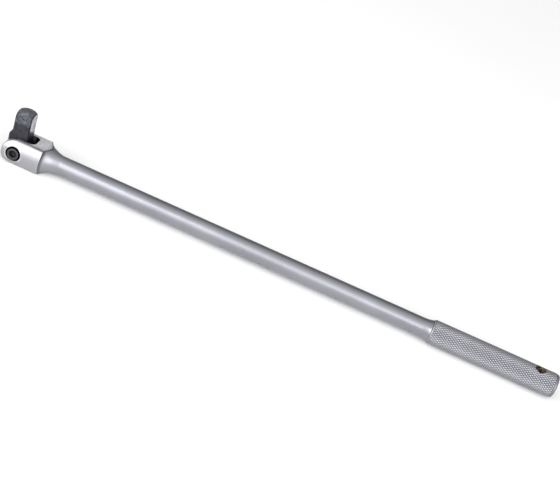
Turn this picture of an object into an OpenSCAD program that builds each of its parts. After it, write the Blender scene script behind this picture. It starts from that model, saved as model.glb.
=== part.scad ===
// Flex-head breaker bar with a half-inch square drive, lying on its yoke with the tang up.
// Millimetres, +Z up. +X runs from the head to the grip, and the pivot axis is along Y.

/* [Bar] */
// Overall length, from the round end of the yoke to the end of the grip
overall_len = 428.5; // [400:0.5:480]
// Diameter of the plain shank
shank_d = 14; // [13.6:0.1:14.8]
// Length of the flare that rises to the collar
flare_len = 7.5; // [6:0.5:11]
// Diameter of the collar that the grip butts against
collar_d = 16.2; // [15.2:0.1:16.4]

/* [Yoke] */
// Diameter of the turned yoke
yoke_d = 27; // [26.6:0.1:28.6]
// Distance across the milled flats, and so the diameter of the full-round end
yoke_flats = 19.7; // [19.4:0.1:20.6]
// Pivot to the sharp shoulder where the neck begins
shoulder_x = 19.6; // [19:0.1:22]
// Length of the concave neck, from the shoulder to the plain shank
neck_len = 13; // [11:0.5:20]
// Curvature of the neck: 2 is an ellipse, lower is straighter
neck_power = 1.6; // [1.4:0.05:2]
// Corner radius at the end of the slot, seen from above
slot_corner_r = 4; // [3:0.1:4.1]
// Rounding of the yoke's front rim
nose_r = 2.5; // [1:0.1:3]
// Radius of the shallow spot face round the screw
spot_r = 6.8; // [6.4:0.1:7.2]
// Depth of the spot face below the crown of the near cheek
spot_depth = 0.5; // [0.3:0.05:0.7]
// Diameter of the counterbore, open all round the screw's head
counterbore_d = 11.1; // [10.6:0.1:11.6]

/* [Drive tang] */
// Across the flats of the drive square, and thickness of the eye
drive_square = 12.7; // [12.6:0.02:12.8]
// Rounding of the square's four corners
square_corner_r = 1.45; // [1:0.05:1.8]
// Pivot to the tip of the square
tang_len = 30.6; // [29.8:0.1:34]
// Height of the domed tip
tip_height = 6.5; // [4:0.1:7]
// Fullness of the domed tip: 2 is an ellipse, higher is flatter on top
tip_power = 2.3; // [2:0.05:3]
// Dome's rim past the square's rounded corners, so that they taper into the dome
tip_margin = 0.3; // [0.1:0.05:0.5]
// How far the lug stands out from the front of the square
lug_out = 2.05; // [1.6:0.05:2.2]
// Height above the pivot at which the lug starts to slope in
lug_top = 11; // [10:0.1:12]
// Length of the lug's slope
lug_slope = 3.7; // [2.5:0.1:5]
// Bevel on the edges of the eye and the lug
eye_bevel = 1.2; // [1.1:0.05:1.6]
// Lean of the tang towards the head end, as it stands at rest
tang_lean = 2.9; // [0:0.1:5]

/* [Pivot screw] */
// Diameter of the plain shoulder that the tang turns on
pivot_d = 7; // [6.6:0.1:7.4]
// Diameter of the head
head_d = 8.7; // [8.4:0.1:9.4]
// Bevel round the head's face
head_bevel = 0.3; // [0.2:0.05:0.6]
// Height of the head
head_h = 4; // [3.6:0.1:4.4]
// Head's face above the crown of the near cheek
head_proud = 0.3; // [0:0.05:0.5]
// Across the flats of the hex socket
hex_flats = 4.5; // [4:0.5:5]
// Depth of the hex socket
hex_depth = 2.6; // [2:0.1:3]
// Diameter of the threaded end, in the far cheek
thread_d = 6.2; // [5.6:0.1:6.4]

/* [Hold plunger] */
// Diameter of the plunger
plunger_d = 6; // [5.4:0.1:6.4]
// Length of the plunger's body, with its domed nose
plunger_len = 7; // [6:0.5:8]
// Radius of the domed nose
plunger_nose_r = 4.5; // [3.6:0.1:6]
// Length of the spring behind the plunger
plunger_spring_len = 13; // [11:0.5:14]
// Wire of the plunger's spring
plunger_wire = 0.9; // [0.7:0.05:1]

/* [Socket ball] */
// Diameter of the ball
ball_d = 5; // [4.6:0.1:5.4]
// How far the ball stands out of the square
ball_out = 0.8; // [0.6:0.05:0.9]
// Centre of the ball from the tip of the square
ball_inset = 8; // [7.4:0.1:8.8]
// Length of the spring behind the ball
ball_spring_len = 5; // [4.4:0.1:5.2]
// Wire of the ball's spring
ball_wire = 0.55; // [0.45:0.05:0.6]

/* [Grip] */
// Length of the knurled grip
grip_len = 96.7; // [80:0.1:120]
// Diameter over the points of the knurl
grip_d = 18; // [17.6:0.1:19]
// Diameter of the bar's tail inside the grip
tail_d = 12.4; // [12:0.1:12.8]
// Number of diamonds round the grip
knurl_count = 30; // [24:1:36]
// Length of half a diamond along the grip, as a share of its width
knurl_stretch = 0.78; // [0.7:0.02:1]
// Depth of the knurl
knurl_depth = 0.35; // [0.2:0.05:0.45]
// Bevel at the end of the grip
grip_bevel = 1.8; // [0.8:0.1:2]
// Plain rim between the collar and the first diamonds
grip_rim = 0.6; // [0.4:0.1:1.2]
// Diameter of the cross hole
hole_d = 8.6; // [8:0.1:9.2]
// Axis of the cross hole from the end of the grip
hole_inset = 15.1; // [14:0.1:24]

/* [Clearances] */
// Radial clearance of a turning or sliding fit
run_clear = 0.05; // [0.03:0.01:0.08]
// Clearance on each side of the eye between the cheeks
side_clear = 0.15; // [0.1:0.01:0.25]
// Radial clearance of a fixed seat
seat_clear = 0.02; // [0.01:0.01:0.04]
// Radial clearance of a spring in its bore
spring_clear = 0.2; // [0.15:0.01:0.25]
// Clearance at each end of a spring
spring_end_clear = 0.05; // [0.03:0.01:0.08]
// Lip of the ball's bore past the circle where the ball crosses the face
lip_clear = 0.12; // [0.08:0.01:0.2]
// Eye inside the flats, so that it never stands proud of them
eye_inset = 0.45; // [0.4:0.05:0.6]
// Eye to the end of the slot
heel_gap = 2.1; // [1.9:0.05:2.4]
// Eye to the nose of the plunger
nose_gap = 0.3; // [0.25:0.05:0.4]

/* [Hidden] */
$fn = 96;
yoke_r = yoke_d / 2;
half_flats = yoke_flats / 2;
shank_r = shank_d / 2;
collar_r = collar_d / 2;
tail_r = tail_d / 2;
half_square = drive_square / 2;
eye_r = half_flats - eye_inset;
slot_end = eye_r + heel_gap;
slot_half = half_square + side_clear;
shank_start = shoulder_x + neck_len;
grip_end = overall_len - half_flats;
grip_start = grip_end - grip_len;
hole_x = grip_end - hole_inset;
head_face = yoke_r + head_proud;
head_seat = head_face - head_h;
plunger_nose = eye_r + nose_gap;
plunger_back = plunger_nose + plunger_len;
plunger_bore_end = plunger_back + plunger_spring_len;
tip_start = tang_len - tip_height;
tip_r = half_square * sqrt(2) - square_corner_r * (sqrt(2) - 1) + tip_margin;
ball_r = ball_d / 2;
ball_height = tang_len - ball_inset;
ball_depth = ball_r - ball_out;
ball_bore_depth = ball_depth + ball_r + ball_spring_len;
knurl_cols = 2 * knurl_count;
knurl_root_r = grip_d / 2 - knurl_depth;
knurl_row = 3.14159 * grip_d / knurl_count * knurl_stretch;
knurl_start = grip_start + grip_rim;
knurl_end = grip_end - grip_bevel;
knurl_rows = 2 * round((knurl_end - knurl_start) / knurl_row / 2);
middle_x = overall_len / 2 - half_flats;

// Everything is drawn about the pivot, then moved so that the part's lower face is on the ground.
module on_ground() {
  translate([-middle_x, 0, half_flats])
    children();
}

// The tang's own frame: its length along Z, leaning about the pivot.
module on_tang() {
  on_ground()
    rotate([0, -tang_lean, 0])
      children();
}

// A turned solid: the profile gives radius and distance along +X.
module turned_x(profile) {
  rotate([0, 90, 0])
    rotate_extrude()
      polygon(profile);
}

// A turned solid: the profile gives radius and distance along +Y.
module turned_y(profile) {
  rotate([-90, 0, 0])
    rotate_extrude()
      polygon(profile);
}

// A point of the concave neck, from 0 degrees at the shoulder to 90 at the shank.
function neck_point(a) =
  [yoke_r - (yoke_r - shank_r) * pow(sin(a), 2 / neck_power),
    shank_start - neck_len * pow(cos(a), 2 / neck_power)];

bar_profile = concat(
  [[0, -half_flats]],
  [for (a = [0:15:90]) [yoke_r - nose_r + nose_r * sin(a), nose_r - half_flats - nose_r * cos(a)]],
  [[yoke_r, shoulder_x]],
  [for (a = [5:5:90]) neck_point(a)],
  [for (s = [0:0.125:1])
    [shank_r + (collar_r - shank_r) * s * s, grip_start - flare_len + s * flare_len]],
  [[tail_r, grip_start], [tail_r, grip_end - 1.4], [tail_r - 0.8, grip_end - 0.6], [0, grip_end - 0.6]]
);

// The slot between the cheeks, with rounded corners at its end.
module slot() {
  straight = slot_end - slot_corner_r;
  translate([-yoke_d, -slot_half, -yoke_r])
    cube([yoke_d + straight, 2 * slot_half, yoke_d]);
  translate([0, slot_corner_r - slot_half, -yoke_r])
    cube([slot_end, 2 * (slot_half - slot_corner_r), yoke_d]);
  for (side = [-1, 1])
    translate([straight, side * (slot_half - slot_corner_r), -yoke_r])
      cylinder(r = slot_corner_r, h = yoke_d);
}

// Counterbore, shoulder hole and threaded hole for the screw, with the spot face on the near cheek.
module screw_holes() {
  turned_y([[0, -yoke_d], [spot_r, -yoke_d], [spot_r, spot_depth - yoke_r],
    [counterbore_d / 2, spot_depth - yoke_r], [counterbore_d / 2, -head_seat],
    [pivot_d / 2 + seat_clear, -head_seat], [pivot_d / 2 + seat_clear, slot_half],
    [thread_d / 2 + seat_clear, slot_half], [thread_d / 2 + seat_clear, yoke_d], [0, yoke_d]]);
}

module plunger_bore() {
  bore_r = plunger_d / 2 + run_clear;
  turned_x([[0, slot_end - 3], [bore_r, slot_end - 3], [bore_r, plunger_bore_end], [0, plunger_bore_end]]);
}

module cross_hole() {
  translate([hole_x, 0, 0])
    cylinder(d = hole_d, h = 2 * grip_d, center = true);
}

module bar() {
  color("silver")
    on_ground()
      difference() {
        intersection() {
          turned_x(bar_profile);
          union() {
            rotate([90, 0, 0])
              cylinder(r = half_flats, h = 2 * yoke_d, center = true);
            translate([0, -yoke_d, -half_flats])
              cube([overall_len, 2 * yoke_d, yoke_flats]);
          }
        }
        slot();
        screw_holes();
        plunger_bore();
        cross_hole();
      }
}

// Rings of the knurled skin: plain at both ends, diamonds between them.
function ring_x(j) =
  j == 0 ? grip_start :
  j == knurl_rows + 2 ? grip_end :
  knurl_start + (j - 1) * (knurl_end - knurl_start) / knurl_rows;

function ring_r(j, k) =
  j == 0 ? knurl_root_r - 0.3 :
  j == knurl_rows + 2 ? knurl_root_r - grip_bevel :
  j == 1 || j == knurl_rows + 1 || (j + k) % 2 == 0 ? knurl_root_r :
  grip_d / 2;

module knurled_skin() {
  last = knurl_rows + 2;
  points = [for (j = [0:last]) for (k = [0:knurl_cols - 1]) let (a = 360 * k / knurl_cols)
    [ring_x(j), ring_r(j, k) * cos(a), ring_r(j, k) * sin(a)]];
  sides = [for (j = [0:last - 1]) for (k = [0:knurl_cols - 1])
    let (a = j * knurl_cols + k)
    let (b = j * knurl_cols + (k + 1) % knurl_cols)
    let (c = b + knurl_cols)
    let (d = a + knurl_cols)
    for (face = (j + k) % 2 == 0 ? [[a, c, b], [a, d, c]] : [[a, d, b], [b, d, c]]) face];
  front = [for (k = [0:knurl_cols - 1]) k];
  back = [for (k = [knurl_cols - 1:-1:0]) last * knurl_cols + k];
  polyhedron(points, concat(sides, [front, back]));
}

module knurled_grip() {
  color("gainsboro")
    on_ground()
      difference() {
        knurled_skin();
        turned_x([[0, 0], [tail_r + seat_clear, 0], [tail_r + seat_clear, overall_len], [0, overall_len]]);
        cross_hole();
      }
}

// The square with its rounded corners, from the pivot up.
module square_bar() {
  inner = half_square - square_corner_r;
  translate([-half_square, -inner, 0])
    cube([drive_square, 2 * inner, tang_len + tip_height]);
  translate([-inner, -half_square, 0])
    cube([2 * inner, drive_square, tang_len + tip_height]);
  for (x = [-inner, inner])
    for (y = [-inner, inner])
      translate([x, y, 0])
        cylinder(r = square_corner_r, h = tang_len + tip_height);
}

// The lug on the front of the tang: sloped at the top, bevelled at both edges.
module lug() {
  face = half_square + lug_out;
  intersection() {
    rotate([90, 0, 0])
      linear_extrude(drive_square, center = true)
        polygon([[0, 0], [-face, 0], [-face, lug_top], [-half_square, lug_top + lug_slope],
          [0, lug_top + lug_slope]]);
    linear_extrude(tang_len)
      polygon([[0, -half_square], [0, half_square], [eye_bevel - face, half_square],
        [-face, half_square - eye_bevel], [-face, eye_bevel - half_square],
        [eye_bevel - face, -half_square]]);
  }
}

module eye() {
  turned_y([[0, -half_square], [eye_r - eye_bevel, -half_square], [eye_r, eye_bevel - half_square],
    [eye_r, half_square - eye_bevel], [eye_r - eye_bevel, half_square], [0, half_square]]);
}

// Outline of the domed tip, as radius and height.
tip_profile = concat(
  [[0, 0], [tip_r, 0]],
  [for (a = [0:7.5:82.5])
    [tip_r * pow(cos(a), 2 / tip_power), tip_start + tip_height * pow(sin(a), 2 / tip_power)]],
  [[0, tang_len]]
);

// Bore for the ball and its spring, open on the far face with a lip that keeps the ball in.
module ball_bore() {
  bore_r = ball_r + run_clear;
  mouth_r = sqrt(ball_r * ball_r - ball_depth * ball_depth) + lip_clear;
  translate([0, half_square, ball_height])
    turned_y([[0, 1], [mouth_r, 1], [mouth_r, 0], [bore_r, -0.9], [bore_r, -ball_bore_depth],
      [0, -ball_bore_depth]]);
}

module drive_tang() {
  color("dimgray")
    on_tang()
      difference() {
        union() {
          eye();
          lug();
          intersection() {
            square_bar();
            rotate_extrude()
              polygon(tip_profile);
          }
        }
        turned_y([[0, -yoke_d], [pivot_d / 2 + run_clear, -yoke_d], [pivot_d / 2 + run_clear, yoke_d],
          [0, yoke_d]]);
        ball_bore();
      }
}

module pivot_screw() {
  color("dimgray")
    on_ground()
      difference() {
        turned_y([[0, -head_face], [head_d / 2 - head_bevel, -head_face], [head_d / 2, head_bevel - head_face],
          [head_d / 2, -head_seat], [pivot_d / 2, -head_seat], [pivot_d / 2, slot_half - 0.1],
          [thread_d / 2, slot_half - 0.1], [thread_d / 2, head_face - 0.8],
          [thread_d / 2 - 0.8, head_face], [0, head_face]]);
        translate([0, hex_depth - head_face, 0])
          rotate([90, 30, 0])
            cylinder(d = hex_flats / cos(30), h = hex_depth + 1, $fn = 6);
      }
}

// A smooth pin with a domed nose towards the eye and a spigot in the spring.
module hold_plunger() {
  pin_r = plunger_d / 2;
  shoulder = plunger_nose + plunger_nose_r - sqrt(plunger_nose_r * plunger_nose_r - pin_r * pin_r);
  spigot_r = pin_r - plunger_wire - 0.4;
  color("gray")
    on_ground()
      union() {
        intersection() {
          translate([plunger_nose + plunger_nose_r, 0, 0])
            sphere(r = plunger_nose_r);
          turned_x([[0, plunger_nose], [pin_r, plunger_nose], [pin_r, shoulder], [0, shoulder]]);
        }
        turned_x([[0, shoulder], [pin_r, shoulder], [pin_r, plunger_back], [spigot_r, plunger_back],
          [spigot_r, plunger_back + 2], [0, plunger_back + 2]]);
      }
}

// A coil spring along +Z, with a closed turn at each end.
module coil(outer_d, wire, length, turns) {
  sides = 8;
  steps = 18 * turns;
  mid_r = (outer_d - wire) / 2;
  rise = length - wire;
  close = 1.2 * wire;
  open = (rise - 2 * close) / (turns - 2);
  function climb(t) =
    t < 1 ? t * close :
    t > turns - 1 ? rise - (turns - t) * close :
    close + (t - 1) * open;
  points = [for (i = [0:steps]) let (t = i / 18) for (s = [0:sides - 1])
    let (r = mid_r + wire / 2 * cos(360 * s / sides))
    [r * cos(360 * t), r * sin(360 * t), wire / 2 + climb(t) + wire / 2 * sin(360 * s / sides)]];
  skin = [for (i = [0:steps - 1]) for (s = [0:sides - 1])
    let (a = i * sides + s)
    let (b = i * sides + (s + 1) % sides)
    for (face = [[a, b, b + sides], [a, b + sides, a + sides]]) face];
  first = [for (s = [sides - 1:-1:0]) s];
  last = [for (s = [0:sides - 1]) steps * sides + s];
  polyhedron(points, concat(skin, [first, last]));
}

module plunger_spring() {
  color("darkgray")
    on_ground()
      translate([plunger_back + spring_end_clear, 0, 0])
        rotate([0, 90, 0])
          coil(plunger_d + 2 * (run_clear - spring_clear), plunger_wire,
            plunger_spring_len - 2 * spring_end_clear, 7);
}

module socket_ball() {
  color("gainsboro")
    on_tang()
      translate([0, half_square - ball_depth, ball_height])
        sphere(r = ball_r);
}

module socket_ball_spring() {
  color("darkgray")
    on_tang()
      translate([0, half_square - ball_bore_depth + spring_end_clear, ball_height])
        rotate([-90, 0, 0])
          coil(ball_d + 2 * (run_clear - spring_clear), ball_wire,
            ball_spring_len - 2 * spring_end_clear, 5);
}

bar();
knurled_grip();
drive_tang();
pivot_screw();
hold_plunger();
plunger_spring();
socket_ball();
socket_ball_spring();
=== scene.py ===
import math

import bmesh
import bpy
import numpy as np
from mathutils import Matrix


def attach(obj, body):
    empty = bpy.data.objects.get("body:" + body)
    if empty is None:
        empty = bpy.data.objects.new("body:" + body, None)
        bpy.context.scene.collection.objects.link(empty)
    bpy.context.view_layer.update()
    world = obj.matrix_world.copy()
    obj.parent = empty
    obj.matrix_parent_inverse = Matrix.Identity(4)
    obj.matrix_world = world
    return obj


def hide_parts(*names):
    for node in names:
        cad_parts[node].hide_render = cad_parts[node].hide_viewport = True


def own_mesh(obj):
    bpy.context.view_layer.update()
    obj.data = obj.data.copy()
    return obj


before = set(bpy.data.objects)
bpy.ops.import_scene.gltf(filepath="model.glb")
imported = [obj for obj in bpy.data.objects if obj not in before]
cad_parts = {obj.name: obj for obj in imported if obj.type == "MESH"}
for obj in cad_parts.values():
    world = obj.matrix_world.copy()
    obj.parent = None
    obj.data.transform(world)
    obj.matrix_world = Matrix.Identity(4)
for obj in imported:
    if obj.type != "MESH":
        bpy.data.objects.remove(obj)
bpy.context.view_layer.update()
scene = bpy.context.scene
print("frame loaded,", len(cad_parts), "nodes")

pivotAt = np.array([-204.4, 0.0, 9.85])  # the pivot in the row frame, in mm; shapes are drawn about it
toMetres = 0.001
bevelSlope = 0.70711  # of a 45 degree bevel
noiseSpan = (0.3, 0.7)  # where most of a noise pattern lies
patchSpan = (0.35, 0.65)


def toRow(points):
    return (np.asarray(points, float) + pivotAt) * toMetres


# rounded joins of two distance fields, negative inside
def roundMax(a, b, r):
    return np.minimum(-r, np.maximum(a, b)) + np.hypot(np.maximum(a + r, 0), np.maximum(b + r, 0))


def roundMin(a, b, r):
    return np.maximum(r, np.minimum(a, b)) - np.hypot(np.maximum(r - a, 0), np.maximum(r - b, 0))


# distance from a rounded corner whose centre is at u = v = 0
def roundCorner(u, v, r):
    return np.hypot(np.maximum(u, 0), np.maximum(v, 0)) + np.minimum(np.maximum(u, v), 0) - r


# from 0 to 1 over a width, and from 1 to 0
def rise(values, start, width):
    return np.clip((values - start) / width, 0, 1)


def fall(values, end, width):
    return np.clip((end - values) / width, 0, 1)


def steps(start, *stops):  # the stops are pairs of spacing and end
    line = [np.array([start])]
    for size, end in zip(stops[::2], stops[1::2]):
        line.append(np.linspace(start, end, max(2, round((end - start) / size) + 1))[1:])
        start = end
    return np.concatenate(line)


skinPull = dict(probe=0.02, rounds=4, leastSlope=0.05, mostMove=0.2)


def fieldSlope(field, points):
    probe = skinPull["probe"]
    slope = np.empty_like(points)
    for axis in range(3):
        shift = np.zeros(3)
        shift[axis] = probe
        slope[:, axis] = (field(*(points + shift).T) - field(*(points - shift).T)) / (2 * probe)
    return slope


# lays one closed skin of quads on the zero of a field, then pulls it exactly onto the shape
def skinField(field, xs, ys, zs):
    lines = (xs, ys, zs)
    value = field(*np.meshgrid(xs, ys, zs, indexing="ij"))
    inside = value < 0
    full = np.zeros([n - 1 for n in value.shape], np.uint8)  # how many of a cell's 8 corners are inside
    for i in (0, 1):
        for j in (0, 1):
            for k in (0, 1):
                full += inside[i:i - 1 or None, j:j - 1 or None, k:k - 1 or None]
    live = (full > 0) & (full < 8)
    cells = np.argwhere(live)
    number = np.full(live.shape, -1)
    number[live] = np.arange(len(cells))
    total, hits = np.zeros((len(cells), 3)), np.zeros(len(cells))
    for axis in range(3):
        u, v = (axis + 1) % 3, (axis + 2) % 3
        for i in (0, 1):
            for j in (0, 1):
                a = cells.copy()
                a[:, u] += i
                a[:, v] += j
                b = a.copy()
                b[:, axis] += 1
                va, vb = value[tuple(a.T)], value[tuple(b.T)]
                cut = (va < 0) != (vb < 0)
                t = np.where(cut, va / np.where(cut, va - vb, 1), 0)
                p = np.stack([lines[n][a[:, n]] for n in range(3)], 1)
                p[:, axis] += t * (lines[axis][b[:, axis]] - lines[axis][a[:, axis]])
                total[cut] += p[cut]
                hits[cut] += 1
    points = total / hits[:, None]
    quads = []
    for axis in range(3):
        u, v = (axis + 1) % 3, (axis + 2) % 3
        low = np.take(inside, range(inside.shape[axis] - 1), axis)
        high = np.take(inside, range(1, inside.shape[axis]), axis)
        edge = np.argwhere(low != high)
        ring = []
        for i, j in ((-1, -1), (0, -1), (0, 0), (-1, 0)):
            c = edge.copy()
            c[:, u] += i
            c[:, v] += j
            ring.append(number[tuple(c.T)])
        ring = np.stack(ring, 1)
        flip = ~low[tuple(edge.T)]
        ring[flip] = ring[flip][:, ::-1]
        quads.append(ring)
    most = skinPull["mostMove"]
    for again in range(skinPull["rounds"]):
        slope = fieldSlope(field, points)
        move = field(*points.T) / np.maximum((slope * slope).sum(1), skinPull["leastSlope"])
        points = points - np.clip(move, -most, most)[:, None] * slope
    normals = fieldSlope(field, points)
    normals /= np.linalg.norm(normals, axis=1)[:, None]
    return points, np.concatenate(quads), normals


# how sharply a skin bends at each point: 0 on flats and hollows, towards 1 on outer edges
def edgeWear(points, quads, normals, rounds):
    pairs = np.concatenate([quads[:, [n, (n + 1) % 4]] for n in range(4)])
    bend = np.zeros(len(points))
    count = np.zeros(len(points))
    gap = points[pairs[:, 1]] - points[pairs[:, 0]]
    lean = (gap * (normals[pairs[:, 1]] - normals[pairs[:, 0]])).sum(1)
    lean = lean / np.maximum((gap * gap).sum(1), 1e-6)
    for side in (0, 1):
        np.add.at(bend, pairs[:, side], lean)
        np.add.at(count, pairs[:, side], 1)
    count = np.maximum(count, 1)
    bend /= count
    for again in range(rounds):
        near = np.zeros(len(points))
        np.add.at(near, pairs[:, 0], bend[pairs[:, 1]])
        np.add.at(near, pairs[:, 1], bend[pairs[:, 0]])
        bend = 0.5 * bend + 0.5 * near / count
    return np.clip(bend, 0, 1)


def settle(piece, body, node):
    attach(piece, body)
    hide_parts(node)
    print(piece.name, "made with", len(piece.data.polygons), "faces")


def addPiece(name, points, faces, normals, marks, finish, body, node):
    mesh = bpy.data.meshes.new(name)
    mesh.from_pydata(points.tolist(), [], faces.tolist())
    mesh.polygons.foreach_set("use_smooth", [True] * len(mesh.polygons))
    mesh.normals_split_custom_set_from_vertices(normals.tolist())
    for label, values in marks.items():
        mesh.attributes.new(label, "FLOAT", "POINT").data.foreach_set("value", values.astype(np.float32))
    mesh.materials.append(finish)
    piece = bpy.data.objects.new(name, mesh)
    scene.collection.objects.link(piece)
    settle(piece, body, node)


# a socket among the inputs is linked, anything else is set
def feed(tree, node, inputs):
    for key, value in inputs.items():
        if isinstance(value, bpy.types.NodeSocket):
            tree.links.new(value, node.inputs[key])
        else:
            node.inputs[key].default_value = value


def put(tree, kind, inputs=None, **settings):
    made = tree.nodes.new(kind)
    for key, value in settings.items():
        setattr(made, key, value)
    feed(tree, made, inputs or {})
    return made


def newFinish(name):
    finish = bpy.data.materials.new(name)
    finish.use_nodes = True
    tree = finish.node_tree
    tree.nodes.clear()
    shader = put(tree, "ShaderNodeBsdfPrincipled")
    put(tree, "ShaderNodeOutputMaterial", {"Surface": shader.outputs[0]})
    place = put(tree, "ShaderNodeTexCoord").outputs["Object"]
    return finish, tree, shader, place


def grain(tree, place, scale, detail=2.0, stretch=None, rough=0.5):
    if stretch:
        place = put(tree, "ShaderNodeMapping", {"Vector": place, "Scale": stretch}).outputs[0]
    inputs = {"Vector": place, "Scale": scale, "Detail": detail, "Roughness": rough}
    return put(tree, "ShaderNodeTexNoise", inputs).outputs[0]


def spread(tree, value, low, high, toLow=0, toHigh=1):
    return put(tree, "ShaderNodeMapRange", {0: value, 1: low, 2: high, 3: toLow, 4: toHigh}).outputs[0]


def sums(tree, kind, a, b=0):
    return put(tree, "ShaderNodeMath", {0: a, 1: b}, operation=kind).outputs[0]


def plus(tree, a, b):
    return sums(tree, "ADD", a, b)


def times(tree, a, b):
    return sums(tree, "MULTIPLY", a, b)


def larger(tree, a, b):
    return sums(tree, "MAXIMUM", a, b)


def vectors(tree, kind, a, b=None):
    inputs = {0: a} if b is None else {0: a, 1: b}
    made = put(tree, "ShaderNodeVectorMath", inputs, operation=kind)
    return made.outputs["Value" if kind in ("LENGTH", "DISTANCE", "DOT_PRODUCT") else "Vector"]


def blendColour(tree, share, a, b):
    return put(tree, "ShaderNodeMix", {0: share, 6: a, 7: b}, data_type="RGBA").outputs[2]


def blendValue(tree, share, a, b):
    return put(tree, "ShaderNodeMix", {0: share, 2: a, 3: b}, data_type="FLOAT").outputs[0]


def mark(tree, name):
    return put(tree, "ShaderNodeAttribute", attribute_name=name).outputs["Fac"]


def alongBar(tree, place):
    return put(tree, "ShaderNodeSeparateXYZ", {0: place}).outputs[0]


def bumps(tree, height, strength, depth):
    return put(tree, "ShaderNodeBump", {"Strength": strength, "Distance": depth, "Height": height}).outputs[0]


# bare rusty wall of the cross hole, on the bar and on the grip
rustLook = dict(dark=(0.016, 0.012, 0.010, 1), light=(0.195, 0.133, 0.098, 1), size=520, patch=(0.42, 0.62),
                metal=0.15, rough=0.9)


def rustColour(tree, place):
    s = rustLook
    return blendColour(tree, spread(tree, grain(tree, place, s["size"], 5), *s["patch"]), s["dark"], s["light"])


# satin chrome: turned and polished skin, rougher speckled cheeks painted lighter than the shank as a painted
# highlight, blasted flats; painted shade black in the screw's seat and in the slot, with a paler painted lit patch
# on the slot's far wall; painted shade in the crease past the shoulder, along the near cheek's edge and on the
# flats' border at the neck; the neck a little lighter as a painted highlight
chromeLook = dict(
    dark=(0.275, 0.278, 0.306, 1), light=(0.302, 0.306, 0.336, 1), neck=(0.305, 0.309, 0.338, 1),
    cheek=(0.35, 0.35, 0.375, 1), spot=(0.52, 0.52, 0.545, 1), shadeBlack=(0.006, 0.006, 0.007, 1),
    flat=(0.74, 0.74, 0.765, 1), flatDark=(0.455, 0.455, 0.477, 1),
    cloudSize=46, fineSize=3800, blastSize=1100, lineStretch=(2400, 55, 55),
    blastPatch=(0.82, 1.18), cheekSpeck=0.2, wearFrom=0.3, wearShare=0.35,
    paintedCreaseShade=0.5, edgeShade=0.72, paintedBorderShade=0.5,
    rough=0.285, cloudRough=(-0.03, 0.04), lineRough=0.01, headRough=0.10, headFade=(-0.16, -0.04),
    neckRough=0.06, cheekRough=0.41, flatRough=0.82,
    bump=0.35, bumpDepth=0.00005, fineBump=0.03, lineBump=0.015)


def satinChrome():
    s = chromeLook
    finish, tree, shader, place = newFinish("satinChrome")
    flats, rust, yoke, seat, neck = [mark(tree, name) for name in ("flats", "rust", "yoke", "seat", "neck")]
    cloud = grain(tree, place, s["cloudSize"], 3)
    fine = grain(tree, place, s["fineSize"], 2, rough=0.6)
    coarse = grain(tree, place, s["blastSize"], 3, rough=0.7)
    lines = grain(tree, place, 1, 2, s["lineStretch"])
    skin = blendColour(tree, spread(tree, cloud, *patchSpan), s["dark"], s["light"])
    # painted highlight: the neck is coloured a little lighter than the shank; its added roughness is the real finish
    skin = blendColour(tree, neck, skin, s["neck"])
    # the cheeks: a rougher speckled finish, and a colour lighter than the shank as a painted highlight
    cheek = blendColour(tree, spread(tree, fine, *noiseSpan, 0, s["cheekSpeck"]), s["cheek"], s["flatDark"])
    cheek = blendColour(tree, mark(tree, "spot"), cheek, s["spot"])
    blast = blendColour(tree, spread(tree, plus(tree, fine, coarse), *s["blastPatch"]), s["flatDark"], s["flat"])
    skin = blendColour(tree, flats, blendColour(tree, yoke, skin, cheek), blast)
    worn = spread(tree, mark(tree, "wear"), s["wearFrom"], 1, 0, s["wearShare"])
    skin = blendColour(tree, worn, skin, s["flat"])
    # painted shade: the skin blends to black in the seat and slot, and darker in the crease, along the edge and on
    # the border
    shade = seat
    for name in ("paintedCrease", "edge", "paintedBorder"):
        shade = larger(tree, shade, times(tree, mark(tree, name), s[name + "Shade"]))
    skin = blendColour(tree, shade, skin, s["shadeBlack"])
    low, high = [s["rough"] + change for change in s["cloudRough"]]
    rough = plus(tree, spread(tree, cloud, *noiseSpan, low, high),
                 spread(tree, lines, *noiseSpan, -s["lineRough"], s["lineRough"]))
    rough = plus(tree, rough, spread(tree, alongBar(tree, place), *s["headFade"], s["headRough"], 0))
    rough = plus(tree, rough, times(tree, neck, s["neckRough"]))
    rough = blendValue(tree, flats, blendValue(tree, yoke, rough, s["cheekRough"]), s["flatRough"])
    height = plus(tree, times(tree, fine, spread(tree, flats, 0, 1, s["fineBump"], 1)),
                  times(tree, lines, spread(tree, flats, 0, 1, s["lineBump"], 0)))
    feed(tree, shader, {
        "Base Color": blendColour(tree, rust, skin, rustColour(tree, place)),
        "Metallic": spread(tree, rust, 0, 1, 1, rustLook["metal"]),
        "Roughness": blendValue(tree, larger(tree, rust, seat), rough, rustLook["rough"]),
        "Normal": bumps(tree, height, s["bump"], s["bumpDepth"])})
    return finish


barSize = dict(
    yokeR=13.5, halfFlats=9.85, noseR=2.5, shoulderX=19.6, neckLen=13.0, neckPower=1.6, shankR=7.0,
    flareStart=314.45, gripStart=321.95, collarR=8.1, tailR=6.2, tailEnd=418.05, tailBevel=0.8,
    slotHalf=6.5, slotEnd=11.5, slotCorner=4.0, spotR=6.8, spotFace=13.0, headHoleR=5.55, headSeat=9.8,
    pinHoleR=3.52, threadHoleR=3.12, boreR=3.05, boreFrom=8.5, boreTo=29.7, holeX=403.55, holeR=4.3,
    flatEdge=0.6, slotEdge=0.3, spotEdge=0.12, holeEdge=0.2,  # radii of softened edges
    profile=(-12, 424, 0.04), soften=0.14, softenReach=12,
    gridX=(-10.4, 0.34, 35, 2.7, 313, 0.36, 323, 3, 397, 0.36, 410, 1.5, 416, 0.36, 418.6),
    gridY=(-13.96, 0.34, 13.96), gridZ=(-10.3, 0.34, 10.3))

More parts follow.
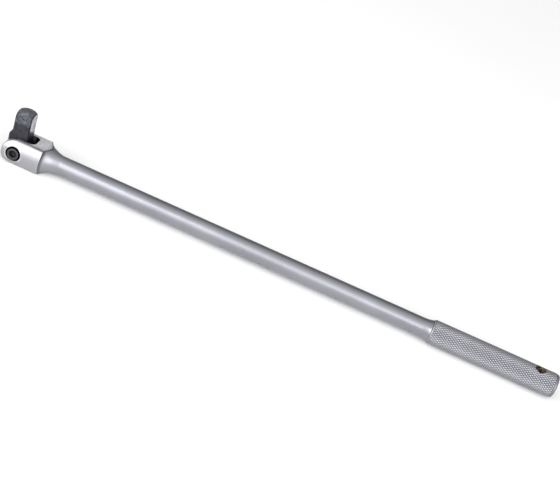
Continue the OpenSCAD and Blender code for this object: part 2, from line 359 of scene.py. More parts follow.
# where the marks that the finish reads begin, and how wide they blend
barMarks = dict(
    flatZ=9.7, flatBlend=0.12, yokeBlend=0.3, seatReach=0.2, slotReach=0.22, seatBlend=0.15,
    farWallX=8.6, farWallBlend=1.2, farWallY=5, farWallLit=0.35,
    spotReach=0.1, spotBlend=0.2, spotY=-12.5, neckIn=0.5, neckLen=15, neckOut=5, creaseX=20.2, creaseWidth=0.9,
    edgeX=(6, 11), edgeY=(-6.7, -7.3), edgeBlend=0.5, edgeEnd=-8.9, edgeEndBlend=0.4, edgeZ=9.3, edgeZBlend=0.2,
    borderNear=(9, 6), borderFar=(19, 2.5), borderDepth=3.0, borderShare=0.7, borderLine=1.1, borderZ=9.25,
    borderZBlend=0.2, rustReach=0.2, rustBlend=0.15, wearRounds=2)


# radius of the turned bar along its length, with softened corners
def barProfile():
    s = barSize
    x = np.arange(*s["profile"])
    rim = np.clip(x + s["halfFlats"], 0, s["noseR"])
    r = s["yokeR"] - s["noseR"] + np.sqrt(s["noseR"] ** 2 - (s["noseR"] - rim) ** 2)
    t = fall(x, s["shoulderX"] + s["neckLen"], s["neckLen"])
    neck = s["yokeR"] - (s["yokeR"] - s["shankR"]) * (1 - t ** s["neckPower"]) ** (1 / s["neckPower"])
    r = np.where(x > s["shoulderX"], neck, r)
    flare = rise(x, s["flareStart"], s["gripStart"] - s["flareStart"])
    r = np.where(x > s["flareStart"], s["shankR"] + (s["collarR"] - s["shankR"]) * flare ** 2, r)
    tail = s["tailR"] - np.clip(x - s["tailEnd"] + s["tailBevel"], 0, s["tailBevel"])
    r = np.where(x > s["gripStart"], tail, r)
    reach = s["softenReach"]
    weights = np.exp(-0.5 * (np.arange(-reach, reach + 1) * s["profile"][2] / s["soften"]) ** 2)
    return x, np.convolve(np.pad(r, reach, "edge"), weights / weights.sum(), "valid")


def slotWall(x, y):
    s = barSize
    corner = s["slotCorner"]
    return roundCorner(x - s["slotEnd"] + corner, np.abs(y) - s["slotHalf"] + corner, corner)


def makeBar():
    s, m = barSize, barMarks
    profileX, profileR = barProfile()
    lean = 1 / np.sqrt(1 + np.gradient(profileR, profileX) ** 2)

    def field(x, y, z):
        turned = (np.hypot(y, z) - np.interp(x, profileX, profileR)) * np.interp(x, profileX, lean)
        turned = np.maximum(turned, x - s["tailEnd"])
        flats = np.hypot(np.minimum(x, 0), z) - s["halfFlats"]
        shape = roundMax(turned, flats, s["flatEdge"])
        shape = roundMax(shape, -slotWall(x, y), s["slotEdge"])
        rod = np.hypot(x, z)
        headHole = np.maximum(rod - s["headHoleR"], y + s["headSeat"])
        pinHole = np.maximum(rod - s["pinHoleR"], y - s["slotHalf"])
        threadHole = np.maximum(rod - s["threadHoleR"], -y)
        shape = roundMax(shape, -np.maximum(rod - s["spotR"], y + s["spotFace"]), s["spotEdge"])
        shape = roundMax(shape, -np.minimum(np.minimum(headHole, pinHole), threadHole), s["holeEdge"])
        bore = np.maximum(np.hypot(y, z) - s["boreR"], np.maximum(s["boreFrom"] - x, x - s["boreTo"]))
        shape = np.maximum(shape, -bore)
        return roundMax(shape, s["holeR"] - np.hypot(x - s["holeX"], y), s["holeEdge"])

    points, quads, normals = skinField(field, steps(*s["gridX"]), steps(*s["gridY"]), steps(*s["gridZ"]))
    atX, atY, atZ = points.T
    rod, high = np.hypot(atX, atZ), np.abs(atZ)
    flats = rise(high, m["flatZ"], m["flatBlend"])
    # painted shade: the screw's counterbore and the slot's walls are painted black; the far wall near the tang keeps
    # a paler painted lit patch
    headSeat = fall(rod, s["headHoleR"] + m["seatReach"], m["seatBlend"]) * (atY < 0)
    litFarWall = fall(atX, m["farWallX"], m["farWallBlend"]) * (atY > m["farWallY"])
    slotShade = fall(slotWall(atX, atY), m["slotReach"], m["seatBlend"]) * (1 - m["farWallLit"] * litFarWall)
    # painted shade: a dark line on the flats along the near cheek's edge, wider in front of the tang
    edge = fall(atY, np.interp(atX, m["edgeX"], m["edgeY"]), m["edgeBlend"]) * (atX < s["shoulderX"])
    edge = edge * rise(atY, m["edgeEnd"], m["edgeEndBlend"]) * rise(high, m["edgeZ"], m["edgeZBlend"])
    # painted shade: the flats darken towards the neck, most where they cut deepest below the turned skin
    under = np.interp(atX, profileX, profileR) - np.hypot(atY, atZ)  # depth below the turned skin
    paintedBorder = np.maximum(m["borderShare"] * fall(under, m["borderDepth"], m["borderDepth"]),
                        fall(under, m["borderLine"], 1))
    paintedBorder = paintedBorder * np.where(atY < 0, rise(atX, *m["borderNear"]), rise(atX, *m["borderFar"]))
    neckEnd = s["shoulderX"] + m["neckLen"]
    # painted shade: a dark band in the concave crease just past the shoulder
    paintedCrease = np.exp(-((atX - m["creaseX"]) / m["creaseWidth"]) ** 2) * (atX > s["shoulderX"])
    marks = {
        "flats": flats,
        "yoke": fall(atX, s["shoulderX"], m["yokeBlend"]),
        "seat": np.maximum(headSeat, slotShade),
        "spot": fall(rod, s["spotR"] + m["spotReach"], m["spotBlend"]) * (atY < m["spotY"]),
        "neck": rise(atX, s["shoulderX"], m["neckIn"]) * fall(atX, neckEnd, m["neckOut"]),
        "paintedCrease": paintedCrease * (1 - flats),
        "edge": edge,
        "paintedBorder": paintedBorder * rise(high, m["borderZ"], m["borderZBlend"]),
        "rust": fall(np.hypot(atX - s["holeX"], atY), s["holeR"] + m["rustReach"], m["rustBlend"]),
        "wear": edgeWear(points, quads, normals, m["wearRounds"]),
    }
    addPiece("satinBar", toRow(points), quads, normals, marks, satinChrome(), "handle", "bar")


makeBar()

# blackened steel of the tang and the screw, with its grain, bare worn edges and an oil film
blackLook = dict(blotchSize=520, speckSize=2300, bare=(0.66, 0.66, 0.67, 1), wear=(0.15, 0.7), wearShare=0.06,
                 wearSpeck=(0.4, 0.6), wearLeast=0.3, rough=0.52, roughLow=0.08, roughHigh=-0.06, filmRough=0.40,
                 bump=0.4, bumpDepth=0.00006, bumpSpeck=0.5)


def blackSteel(name, film, skinOf):
    s = blackLook
    finish, tree, shader, place = newFinish(name)
    blotch = grain(tree, place, s["blotchSize"], 6, rough=0.66)
    speck = grain(tree, place, s["speckSize"], 3, rough=0.6)
    worn = times(tree, spread(tree, mark(tree, "wear"), *s["wear"], 0, s["wearShare"]),
                 spread(tree, speck, *s["wearSpeck"], s["wearLeast"], 1))
    height = plus(tree, blotch, times(tree, speck, s["bumpSpeck"]))
    feed(tree, shader, {
        "Base Color": blendColour(tree, worn, skinOf(tree, place, blotch, speck), s["bare"]),
        "Metallic": 1,
        "Roughness": spread(tree, blotch, *noiseSpan, s["rough"] + s["roughLow"], s["rough"] + s["roughHigh"]),
        "Coat Weight": film,
        "Coat Roughness": s["filmRough"],
        "Normal": bumps(tree, height, s["bump"], s["bumpDepth"])})
    return finish


# forged tang: even and dark low down, scuffed and mottled on the square, lighter near bare steel on the two faces
# across x above a slanted line; painted shade on the rounding round the dome and on the square's corners
# the near-black colour given for the square's corners is painted shade
tangLook = dict(
    low=(0.027, 0.026, 0.034, 1), lowLight=(0.050, 0.0485, 0.061, 1), lowSize=240, dark=(0.050, 0.053, 0.066, 1),
    scuff=(0.18, 0.19, 0.225, 1), crown=(0.30, 0.30, 0.33, 1), paintedShade=(0.004, 0.004, 0.005, 1), film=0.3,
    usedFrom=20.8, usedTo=21.6, ragged=0.5, mottleSpeck=0.4, mottle=(0.6, 0.9), crownMottle=(0.55, 0.9),
    crownShare=(0.15, 0.8), rubSpeck=0.6, rubLeast=0.35, rimShade=0.85, cornerShade=0.75)


def tangSkin(tree, place, blotch, speck):
    s = tangLook
    ragged = spread(tree, blotch, *noiseSpan, -s["ragged"], s["ragged"])
    used = spread(tree, plus(tree, mark(tree, "reach"), ragged), s["usedFrom"], s["usedTo"])
    mottle = plus(tree, blotch, times(tree, speck, s["mottleSpeck"]))
    even = blendColour(tree, spread(tree, grain(tree, place, s["lowSize"], 3), *patchSpan), s["low"], s["lowLight"])
    scuffed = blendColour(tree, spread(tree, mottle, *s["mottle"]), s["dark"], s["scuff"])
    skin = blendColour(tree, used, even, scuffed)
    crown = times(tree, mark(tree, "crown"), spread(tree, mottle, *s["crownMottle"], *s["crownShare"]))
    skin = blendColour(tree, crown, skin, s["crown"])
    # painted shade: the rounding between the dome and the square's faces is darkened
    skin = blendColour(tree, times(tree, mark(tree, "rim"), s["rimShade"]), skin, s["dark"])
    # painted shade: the square's rounded corners go near black
    skin = blendColour(tree, times(tree, mark(tree, "corner"), s["cornerShade"]), skin, s["paintedShade"])
    rub = spread(tree, plus(tree, blotch, times(tree, speck, s["rubSpeck"])), *s["mottle"], s["rubLeast"], 1)
    return blendColour(tree, times(tree, mark(tree, "flank"), rub), skin, blackLook["bare"])


tangSize = dict(
    half=6.35, corner=1.45, length=30.6, tipHeight=6.5, tipPower=2.3, tipR=8.68, lugFace=8.4, lugTop=11.0,
    lugSlope=3.7, eyeR=9.4, eyeBevel=1.2, pinHoleR=3.55, ballHeight=22.6, ballBoreR=2.55, ballBoreDepth=9.2,
    ballMouthR=1.953, ballMouthDepth=0.9, lean=2.9,
    tipEdge=0.9, edge=0.3, join=0.35, pinEdge=0.25, ballEdge=0.1,  # radii of softened edges
    gridX=(-9.9, 0.28, 9.9), gridY=(-6.8, 0.28, 6.8), gridZ=(-9.9, 0.28, 31.1))

tangMarks = dict(
    flankTurn=0.92, flankBlend=0.06, flankZ=14.6, flankSlant=0.45, flankRise=1.4, flankFade=0.03, squareZ=20,
    crownTurn=0.5, crownBlend=0.35, rimTurn=0.08, rimBlend=0.15, rimEnd=0.9, rimEndBlend=0.3,
    cornerTurn=0.3, cornerTop=0.4, cornerBlend=0.2, cornerZ=9.5, wearRounds=2)


def makeTang():
    s, m = tangSize, tangMarks
    half, face = s["half"], s["lugFace"]
    lugOut = face - half
    slopeLen = math.hypot(lugOut, s["lugSlope"])
    tiny, leastPull = 1e-6, 0.03  # keep the dome's field finite at its axis

    def field(x, y, z):
        ay = np.abs(y)
        square = roundCorner(np.abs(x) - half + s["corner"], ay - half + s["corner"], s["corner"])
        p = s["tipPower"]
        u = np.hypot(x, y) / s["tipR"] + tiny
        v = np.maximum(z - s["length"] + s["tipHeight"], 0) / s["tipHeight"] + tiny
        g = (u ** p + v ** p) ** (1 / p)
        pull = g ** (1 - p) * np.hypot(u ** (p - 1) / s["tipR"], v ** (p - 1) / s["tipHeight"])
        shaft = roundMax(square, (g - 1) / np.maximum(pull, leastPull), s["tipEdge"])
        shaft = np.maximum(shaft, -z)
        slope = ((z - s["lugTop"]) * lugOut - (x + face) * s["lugSlope"]) / slopeLen
        lug = roundMax(-x - face, slope, s["edge"])
        lug = roundMax(lug, (ay - half - x - face + s["eyeBevel"]) * bevelSlope, s["edge"])
        lug = np.maximum(np.maximum(lug, x), -z)
        around = np.hypot(x, z) - s["eyeR"]
        eye = roundMax(around, (around + ay - half + s["eyeBevel"]) * bevelSlope, s["edge"])
        shape = roundMin(roundMin(shaft, lug, s["join"]), eye, s["join"])
        shape = roundMax(shape, ay - half, s["edge"])
        shape = roundMax(shape, s["pinHoleR"] - np.hypot(x, z), s["pinEdge"])
        deep = half - y
        mouth = np.interp(deep, [0, s["ballMouthDepth"]], [s["ballMouthR"], s["ballBoreR"]])
        bore = np.maximum(np.hypot(x, z - s["ballHeight"]) - mouth, deep - s["ballBoreDepth"])
        return roundMax(shape, -bore, s["ballEdge"])

    points, quads, normals = skinField(field, steps(*s["gridX"]), steps(*s["gridY"]), steps(*s["gridZ"]))
    atY, atZ = points[:, 1], points[:, 2]
    ahead, aside, up = np.abs(normals[:, 0]), np.abs(normals[:, 1]), normals[:, 2]
    onSquare = atZ > m["squareZ"]
    flank = rise(ahead, m["flankTurn"], m["flankBlend"]) * (1 - m["flankFade"] * (atY + half))
    rim = rise(up, m["rimTurn"], m["rimBlend"]) * fall(up, m["rimEnd"], m["rimEndBlend"])
    corner = rise(np.minimum(ahead, aside), m["cornerTurn"], m["cornerBlend"])
    marks = {
        "reach": atZ,
        "flank": flank * rise(atZ + m["flankSlant"] * atY, m["flankZ"], m["flankRise"]),
        "wear": edgeWear(points, quads, normals, m["wearRounds"]),
        "crown": rise(up, m["crownTurn"], m["crownBlend"]) * onSquare,
        "rim": rim * onSquare,
        "corner": corner * fall(up, m["cornerTop"], m["cornerBlend"]) * (atZ > m["cornerZ"]),
    }
    a = math.radians(s["lean"])
    turn = np.array([[math.cos(a), 0, -math.sin(a)], [0, 1, 0], [math.sin(a), 0, math.cos(a)]])
    addPiece("blackTang", toRow(points @ turn.T), quads, normals @ turn.T, marks,
             blackSteel("blackForging", tangLook["film"], tangSkin), "tang", "drive_tang")


makeTang()

# pivot screw with a hex socket
# the socket colour is painted shade inside the hex socket
screwLook = dict(low=(0.042, 0.042, 0.048, 1), high=(0.066, 0.066, 0.073, 1), socket=(0.022, 0.022, 0.025, 1),
                 patch=(0.4, 0.7), film=0.1)
screwSize = dict(
    headR=4.35, face=13.8, seat=9.8, bevel=0.3, pinR=3.5, pinStart=1, pinEnd=6.4, threadR=3.1, endBevel=0.8,
    hexHalf=2.25, hexDepth=2.6, hexLead=0.55, hexTurn=(0.5, 0.866025), coneDepth=0.9, coneSlope=0.35,
    headEdge=0.08, edge=0.12, pitFrom=0.02, pitBlend=0.12, pitReach=1.2, pitDepth=1.2, wearRounds=1,
    gridX=(-5.8, 0.17, 5.8), gridY=(-14.1, 0.17, -9.3, 0.7, 5.8, 0.3, 12.2, 0.2, 14.1))


def screwSkin(tree, place, blotch, speck):
    s = screwLook
    skin = blendColour(tree, spread(tree, blotch, *s["patch"]), s["low"], s["high"])
    # painted shade: the hex socket darkens with depth
    return blendColour(tree, mark(tree, "paintedShade"), skin, s["socket"])


def makeScrew():
    s = screwSize
    face = s["face"]

    def field(x, y, z):
        rod = np.hypot(x, z)
        head = roundMax(rod - s["headR"], np.maximum(-y - face, y + s["seat"]), s["headEdge"])
        head = roundMax(head, (rod - s["headR"] - y - face + s["bevel"]) * bevelSlope, s["edge"])
        pin = np.maximum(rod - s["pinR"], np.maximum(y - s["pinEnd"], -y - face + s["pinStart"]))
        thread = np.maximum(rod - s["threadR"], np.maximum(y - face, -y))
        thread = roundMax(thread, (rod - s["threadR"] + y - face + s["endBevel"]) * bevelSlope, s["edge"])
        shape = np.minimum(np.minimum(head, pin), thread)
        turnX, turnZ = x * s["hexTurn"][0], z * s["hexTurn"][1]
        hexagon = np.maximum(np.abs(x), np.maximum(np.abs(turnX + turnZ), np.abs(turnX - turnZ))) - s["hexHalf"]
        floor = y + face - s["hexDepth"] - np.maximum(0, s["coneDepth"] - s["coneSlope"] * rod)
        lead = np.maximum(0, s["hexLead"] - y - face)
        return roundMax(shape, -np.maximum(hexagon - lead, floor), s["edge"])

    points, quads, normals = skinField(field, steps(*s["gridX"]), steps(*s["gridY"]), steps(*s["gridX"]))
    deep = points[:, 1] + face
    inside = np.hypot(points[:, 0], points[:, 2]) < (s["hexHalf"] + s["hexLead"]) * s["pitReach"]
    inside = inside & (deep < s["hexDepth"] + s["pitDepth"])
    # painted shade: a mask that deepens into the hex socket
    marks = {"paintedShade": np.where(inside, rise(deep, s["pitFrom"], s["pitBlend"]), 0),
             "wear": edgeWear(points, quads, normals, s["wearRounds"])}
    addPiece("blackScrew", toRow(points), quads, normals, marks,
             blackSteel("blackScrewSteel", screwLook["film"], screwSkin), "handle", "pivot_screw")


makeScrew()

# knurled sleeve: bright points; duller grooves, painted darker as painted shade
gripLook = dict(
    groove=(0.084, 0.084, 0.094, 1), point=(0.41, 0.412, 0.446, 1), grooveRough=0.62, pointRough=0.44,
    pointFrom=0.02, pointTo=0.85, plain=0.85, plainTail=0.5, plainBlend=1, cloudSize=60, cloudLeast=0.88,
    fineSize=3800, fineRough=(-0.04, 0.06), rustFrom=0.03, rustTo=0.12, bump=0.3, bumpDepth=0.00004)
gripSize = dict(
    start=321.95, end=418.65, rim=0.6, bevel=1.8, lip=0.3, lipRise=0.02, rootR=8.65, boreR=6.22, height=0.35,
    around=30, rows=63, top=0.32, sink=0.12, holeX=403.55, holeR=4.3, drillSides=96, drillLen=60, drillMargin=1.3,
    sides=160, bevelSteps=7, outerSteps=26, boreSteps=12, sharp=18)


def knurlFinish():
    s, look = gripSize, gripLook
    finish, tree, shader, place = newFinish("knurledChrome")
    scale = 1 / toMetres
    axis = {"Vector": place, "Location": (0, 0, -pivotAt[2]), "Scale": (0, scale, scale)}
    away = vectors(tree, "LENGTH", put(tree, "ShaderNodeMapping", axis).outputs[0])
    high = spread(tree, away, s["rootR"] + look["pointFrom"], s["rootR"] + s["height"] * look["pointTo"])
    along = alongBar(tree, place)
    front = (s["start"] + s["rim"] + pivotAt[0]) * toMetres
    back = (s["end"] - s["bevel"] + pivotAt[0]) * toMetres
    blend = look["plainBlend"] * toMetres
    plain = larger(tree, spread(tree, along, front, front + blend, 1, 0),
                   spread(tree, along, back - blend, back, 0, look["plainTail"]))
    high = larger(tree, high, times(tree, plain, look["plain"]))
    hole = {"Vector": place, "Location": (-(s["holeX"] + pivotAt[0]), 0, 0), "Scale": (scale, scale, 0)}
    reach = vectors(tree, "LENGTH", put(tree, "ShaderNodeMapping", hole).outputs[0])
    rust = spread(tree, reach, s["holeR"] + look["rustFrom"], s["holeR"] + look["rustTo"], 1, 0)
    cloud = grain(tree, place, look["cloudSize"], 3)
    fine = grain(tree, place, look["fineSize"], 2, rough=0.6)
    lit = times(tree, high, spread(tree, cloud, *noiseSpan, look["cloudLeast"], 1))
    # painted shade: the colour darkens from the points down into the grooves
    skin = blendColour(tree, lit, look["groove"], look["point"])
    rough = plus(tree, spread(tree, high, 0, 1, look["grooveRough"], look["pointRough"]),
                 spread(tree, fine, *noiseSpan, *look["fineRough"]))
    feed(tree, shader, {
        "Base Color": blendColour(tree, rust, skin, rustColour(tree, place)),
        "Metallic": spread(tree, rust, 0, 1, 1, rustLook["metal"]),
        "Roughness": blendValue(tree, rust, rough, rustLook["rough"]),
        "Normal": bumps(tree, fine, look["bump"], look["bumpDepth"])})
    return finish


# the tree sets staggered diamonds round a plain sleeve and cuts the cross hole through both
knurlInputs = (("Start", "Float"), ("Length", "Float"), ("Rows", "Int"), ("Around", "Int"), ("Root Radius", "Float"),
               ("Height", "Float"), ("Flat Top", "Float"), ("Sink", "Float"), ("Axis Height", "Float"),
               ("Hole Place", "Float"), ("Hole Radius", "Float"), ("Drill Sides", "Int"), ("Drill Length", "Float"),
               ("Drill Margin", "Float"), ("Finish", "Material"))


def knurlTree():
    tree = bpy.data.node_groups.new("knurlDiamonds", "GeometryNodeTree")
    tree.interface.new_socket("Geometry", in_out="INPUT", socket_type="NodeSocketGeometry")
    for name, kind in knurlInputs:
        tree.interface.new_socket(name, in_out="INPUT", socket_type="NodeSocket" + kind)
    tree.interface.new_socket("Geometry", in_out="OUTPUT", socket_type="NodeSocketGeometry")
    given = put(tree, "NodeGroupInput").outputs

    # one point for each diamond, every second row turned by half a step
    index = put(tree, "GeometryNodeInputIndex").outputs[0]
    row = sums(tree, "FLOOR", sums(tree, "DIVIDE", index, given["Around"]))
    column = sums(tree, "FLOORED_MODULO", index, given["Around"])
    shifted = plus(tree, column, times(tree, sums(tree, "FLOORED_MODULO", row, 2), 0.5))
    angle = times(tree, sums(tree, "DIVIDE", shifted, given["Around"]), 2 * math.pi)
    pitch = sums(tree, "DIVIDE", given["Length"], plus(tree, given["Rows"], 1))
    along = plus(tree, given["Start"], times(tree, plus(tree, row, 1), pitch))
    base = sums(tree, "SUBTRACT", given["Root Radius"], given["Sink"])
    side = times(tree, times(tree, sums(tree, "SINE", angle), base), -1)
    up = plus(tree, times(tree, sums(tree, "COSINE", angle), base), given["Axis Height"])
    spot = put(tree, "ShaderNodeCombineXYZ", {0: along, 1: side, 2: up}).outputs[0]
    count = times(tree, given["Rows"], given["Around"])
    dots = put(tree, "GeometryNodePoints", {"Count": count, "Position": spot}).outputs[0]

    # the diamond is a four-sided cone with a flat top, sunk a little into the sleeve
    tall = plus(tree, given["Height"], given["Sink"])
    slant = times(tree, given["Sink"], sums(tree, "SUBTRACT", 1, given["Flat Top"]))
    foot = plus(tree, 1, sums(tree, "DIVIDE", slant, given["Height"]))
    cone = {"Vertices": 4, "Radius Top": given["Flat Top"], "Radius Bottom": foot, "Depth": tall}
    stud = put(tree, "GeometryNodeMeshCone", cone).outputs["Mesh"]
    half = sums(tree, "DIVIDE", times(tree, given["Root Radius"], math.pi), given["Around"])
    size = put(tree, "ShaderNodeCombineXYZ", {0: pitch, 1: half, 2: 1.0}).outputs[0]
    turned = put(tree, "ShaderNodeCombineXYZ", {0: angle}).outputs[0]
    setting = {"Points": dots, "Instance": stud, "Rotation": turned, "Scale": size}
    studs = put(tree, "GeometryNodeInstanceOnPoints", setting).outputs[0]

    # only the diamonds near the cross hole are cut
    centre = put(tree, "ShaderNodeCombineXYZ", {0: given["Hole Place"]}).outputs[0]
    flatSpot = vectors(tree, "MULTIPLY", put(tree, "GeometryNodeInputPosition").outputs[0], (1, 1, 0))
    margin = plus(tree, given["Hole Radius"], times(tree, pitch, given["Drill Margin"]))
    near = put(tree, "FunctionNodeCompare", {0: vectors(tree, "DISTANCE", flatSpot, centre), 1: margin},
               data_type="FLOAT", operation="LESS_THAN").outputs[0]
    parted = put(tree, "GeometryNodeSeparateGeometry", {"Geometry": studs, "Selection": near},
                 domain="INSTANCE").outputs
    rod = {"Vertices": given["Drill Sides"], "Radius": given["Hole Radius"], "Depth": given["Drill Length"]}
    drill = put(tree, "GeometryNodeMeshCylinder", rod).outputs["Mesh"]
    drillAt = put(tree, "ShaderNodeCombineXYZ", {0: given["Hole Place"], 2: given["Axis Height"]}).outputs[0]
    drill = put(tree, "GeometryNodeTransform", {"Geometry": drill, "Translation": drillAt}).outputs[0]
    nearStuds = put(tree, "GeometryNodeRealizeInstances", {0: parted[0]}).outputs[0]
    cut = dict(operation="DIFFERENCE", solver="EXACT")
    cutStuds = put(tree, "GeometryNodeMeshBoolean",
                   {"Mesh 1": nearStuds, "Mesh 2": drill, "Self Intersection": True}, **cut).outputs[0]
    cutSleeve = put(tree, "GeometryNodeMeshBoolean",
                    {"Mesh 1": given["Geometry"], "Mesh 2": drill}, **cut).outputs[0]
    joined = put(tree, "GeometryNodeJoinGeometry")
    for part in (cutSleeve, cutStuds, parted[1]):
        tree.links.new(part, joined.inputs[0])
    real = put(tree, "GeometryNodeRealizeInstances", {0: joined.outputs[0]}).outputs[0]
    done = put(tree, "GeometryNodeSetMaterial", {"Geometry": real, "Material": given["Finish"]}).outputs[0]
    put(tree, "NodeGroupOutput", {0: done})
    return tree


# outline of the plain sleeve, as pairs of place and radius, turned to a ring of quads
def plainSleeve():
    s = gripSize
    start, end, lip, bevel, rootR, boreR = [s[key] for key in ("start", "end", "lip", "bevel", "rootR", "boreR")]
    line = [(start, rootR - lip), (start + lip, rootR - s["lipRise"]), (start + s["rim"], rootR)]
    line += [(x, rootR) for x in np.linspace(start + s["rim"], end - bevel, s["outerSteps"])[1:]]
    line += [(end - bevel + bevel * math.sin(a), rootR - bevel + bevel * math.cos(a))
             for a in np.radians(np.linspace(0, 90, s["bevelSteps"]))[1:]]
    line += [(end, boreR + lip), (end - lip, boreR)]
    line += [(x, boreR) for x in np.linspace(end - lip, start, s["boreSteps"])[1:]]
    place, radius = np.array(line).T
    n, m = len(line), s["sides"]
    around = np.linspace(0, 2 * math.pi, m, endpoint=False)
    points = np.stack([np.repeat(place, m), np.outer(radius, np.sin(around)).ravel(),
                       np.outer(radius, np.cos(around)).ravel()], 1)
    faces = [(i * m + j, (i + 1) % n * m + j, (i + 1) % n * m + (j + 1) % m, i * m + (j + 1) % m)
             for i in range(n) for j in range(m)]
    mesh = bpy.data.meshes.new("plainSleeve")
    mesh.from_pydata(toRow(points).tolist(), [], faces)
    return mesh


def makeGrip():
    s = gripSize
    grip = bpy.data.objects.new("knurledSleeve", plainSleeve())
    scene.collection.objects.link(grip)
    knurl = grip.modifiers.new("knurl", "NODES")
    knurl.node_group = knurlTree()
    lengths = {"Start": s["start"] + s["rim"] + pivotAt[0], "Length": s["end"] - s["bevel"] - s["start"] - s["rim"],
               "Root Radius": s["rootR"], "Height": s["height"], "Sink": s["sink"], "Axis Height": pivotAt[2],
               "Hole Place": s["holeX"] + pivotAt[0], "Hole Radius": s["holeR"], "Drill Length": s["drillLen"]}
    settings = {name: length * toMetres for name, length in lengths.items()}
    settings.update({"Rows": s["rows"], "Around": s["around"], "Flat Top": s["top"], "Drill Sides": s["drillSides"],
                     "Drill Margin": s["drillMargin"], "Finish": knurlFinish()})
    for item in knurl.node_group.interface.items_tree:
        if item.name in settings:
            knurl[item.identifier] = settings[item.name]
    ready = grip.evaluated_get(bpy.context.evaluated_depsgraph_get())
    mesh = bpy.data.meshes.new_from_object(ready)
    grip.modifiers.clear()
    grip.data = mesh
    mesh.polygons.foreach_set("use_smooth", [True] * len(mesh.polygons))
    mesh.set_sharp_from_angle(angle=math.radians(s["sharp"]))
    settle(grip, "handle", "knurled_grip")


makeGrip()

# small parts keep their CAD shapes; the springs are copies of theirs, attached to the bodies
smallLook = dict(hold_plunger=dict(colour=(0.34, 0.34, 0.35, 1), rough=0.30),
                 socket_ball=dict(colour=(0.62, 0.62, 0.63, 1), rough=0.12))
springLook = dict(colour=(0.20, 0.20, 0.215, 1), rough=0.38)
springSize = (dict(node="plunger_spring", piece="plungerCoil", body="handle", joint="plunger_press", axis=(1, 0, 0),
                   anchor=(-0.1747, 0, 0.00985), length=12.95, press=1.2),
              dict(node="socket_ball_spring", piece="ballCoil", body="tang", joint="ball_press", axis=(0, 1, 0),
                   anchor=(-0.20554, -0.00285, 0.0324), length=4.95, press=0.8))
steelGrain = dict(cloudSize=420, fineSize=4200, dim=0.72, fineRough=(-0.04, 0.08), bump=0.15, bumpDepth=0.00003)
wireMerge, wireSharp = 1e-7, 40


def smallSteel(name, colour, rough):
    s = steelGrain
    finish, tree, shader, place = newFinish(name)
    cloud = grain(tree, place, s["cloudSize"], 4)
    fine = grain(tree, place, s["fineSize"], 2)
    dim = tuple(c * s["dim"] for c in colour[:3]) + (1,)
    feed(tree, shader, {
        "Base Color": blendColour(tree, spread(tree, cloud, *patchSpan), dim, colour),
        "Metallic": 1,
        "Roughness": spread(tree, fine, *noiseSpan, *[rough + change for change in s["fineRough"]]),
        "Normal": bumps(tree, fine, s["bump"], s["bumpDepth"])})
    return finish


def dressSmallParts():
    for node, look in smallLook.items():
        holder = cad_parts[node]
        holder.data.materials.clear()
        holder.data.materials.append(smallSteel(node + "Steel", **look))


def makeSprings():
    steel = smallSteel("springSteel", **springLook)
    bpy.context.view_layer.update()
    for s in springSize:
        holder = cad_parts[s["node"]]
        wire = holder.data.copy()
        wire.transform(holder.matrix_world)
        closed = bmesh.new()  # the loose triangles are merged, so that the wire shades round
        closed.from_mesh(wire)
        bmesh.ops.remove_doubles(closed, verts=closed.verts, dist=wireMerge)
        closed.to_mesh(wire)
        closed.free()
        wire.polygons.foreach_set("use_smooth", [True] * len(wire.polygons))
        wire.set_sharp_from_angle(angle=math.radians(wireSharp))
        wire.materials.clear()
        wire.materials.append(steel)
        coil = bpy.data.objects.new(s["piece"], wire)
        scene.collection.objects.link(coil)
        settle(coil, s["body"], s["node"])
        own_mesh(coil)


dressSmallParts()
makeSprings()
print("small parts finished")

# pale floor, a room that is brightest behind the camera, and three soft boxes
floorLook = dict(tone=(0.865, 0.865, 0.865, 1), light=(0.88, 0.88, 0.88, 1), size=3, half=30, rough=0.95, shine=0.2)
roomLook = dict(
    front=(-0.08, -0.787, 0.612), narrow=(1.8, 1, 1),
    levels=((0, 2.14), (12, 1.99), (22, 1.72), (32, 1.45), (45, 1.17), (58, 0.99), (70, 0.85), (84, 0.56),
            (102, 0.32), (180, 0.28)))  # degrees away from the front, and brightness
boxLook = (dict(name="leftBox", side=-40, height=23, far=2.0, wide=1.4, tall=1.8, level=3.6),
           dict(name="rightBox", side=41, height=17, far=2.0, wide=1.25, tall=1.7, level=4.4),
           dict(name="fillBox", side=15, height=27, far=2.0, wide=0.6, tall=0.8, level=1.0))
cameraLook = dict(at=(0.02043, -0.76093, 0.46736), turn=(57.31999, -19.83827, 14.04473), lens=79.93, sensor=36,
                  nearest=0.01)


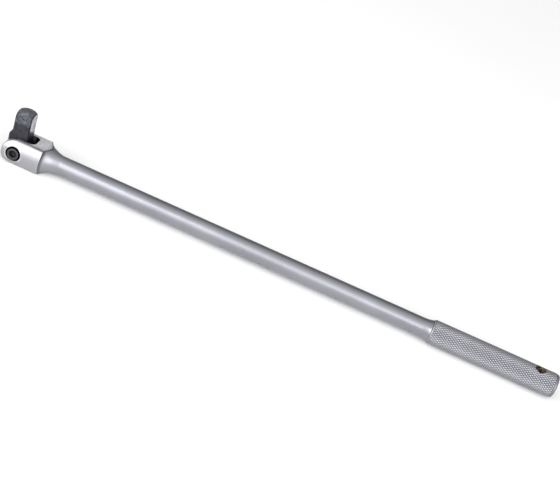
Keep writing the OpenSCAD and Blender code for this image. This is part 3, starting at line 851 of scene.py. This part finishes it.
def makeFloor():
    s = floorLook
    half = s["half"]
    mesh = bpy.data.meshes.new("floor")
    mesh.from_pydata([(-half, -half, 0), (half, -half, 0), (half, half, 0), (-half, half, 0)], [], [(0, 1, 2, 3)])
    finish, tree, shader, place = newFinish("palePaper")
    tone = blendColour(tree, spread(tree, grain(tree, place, s["size"], 2), *noiseSpan), s["tone"], s["light"])
    feed(tree, shader, {"Base Color": tone, "Roughness": s["rough"], "Specular IOR Level": s["shine"]})
    mesh.materials.append(finish)
    floor = bpy.data.objects.new("floor", mesh)
    scene.collection.objects.link(floor)


def makeRoom():
    s = roomLook
    world = bpy.data.worlds.new("room")
    scene.world = world
    world.use_nodes = True
    tree = world.node_tree
    tree.nodes.clear()
    way = vectors(tree, "MULTIPLY", put(tree, "ShaderNodeTexCoord").outputs["Generated"], s["narrow"])
    lean = vectors(tree, "DOT_PRODUCT", vectors(tree, "NORMALIZE", way), s["front"])
    ramp = put(tree, "ShaderNodeValToRGB", {0: spread(tree, lean, -1, 1)})
    ramp.color_ramp.interpolation = "EASE"
    stops = ramp.color_ramp.elements
    while len(stops) < len(s["levels"]):
        stops.new(0.5)
    for stop, (angle, level) in zip(stops, sorted(s["levels"], reverse=True)):
        stop.position = 0.5 + 0.5 * math.cos(math.radians(angle))
        stop.color = (level, level, level, 1)
    sky = put(tree, "ShaderNodeBackground", {"Color": ramp.outputs[0], "Strength": 1.0})
    put(tree, "ShaderNodeOutputWorld", {"Surface": sky.outputs[0]})


def makeBoxes():
    for s in boxLook:
        lamp = bpy.data.lights.new(s["name"], "AREA")
        lamp.shape, lamp.size, lamp.size_y = "RECTANGLE", s["wide"], s["tall"]
        lamp.energy = s["level"] * math.pi * s["wide"] * s["tall"]
        box = bpy.data.objects.new(s["name"], lamp)
        a, e = math.radians(s["side"]), math.radians(s["height"])
        out, up = s["far"] * math.cos(e), s["far"] * math.sin(e)
        box.location = (out * math.sin(a), -out * math.cos(a), up)
        box.rotation_euler = (math.pi / 2 - e, 0, a)  # facing the origin
        scene.collection.objects.link(box)


def makeCamera():
    s = cameraLook
    eye = bpy.data.cameras.new("camera")
    eye.sensor_width, eye.lens, eye.clip_start = s["sensor"], s["lens"], s["nearest"]
    camera = bpy.data.objects.new("camera", eye)
    camera.location = s["at"]
    camera.rotation_euler = [math.radians(a) for a in s["turn"]]
    scene.collection.objects.link(camera)
    scene.camera = camera
    scene.view_settings.view_transform = "Standard"


makeFloor()
makeRoom()
makeBoxes()
makeCamera()
print("floor, light and camera set")
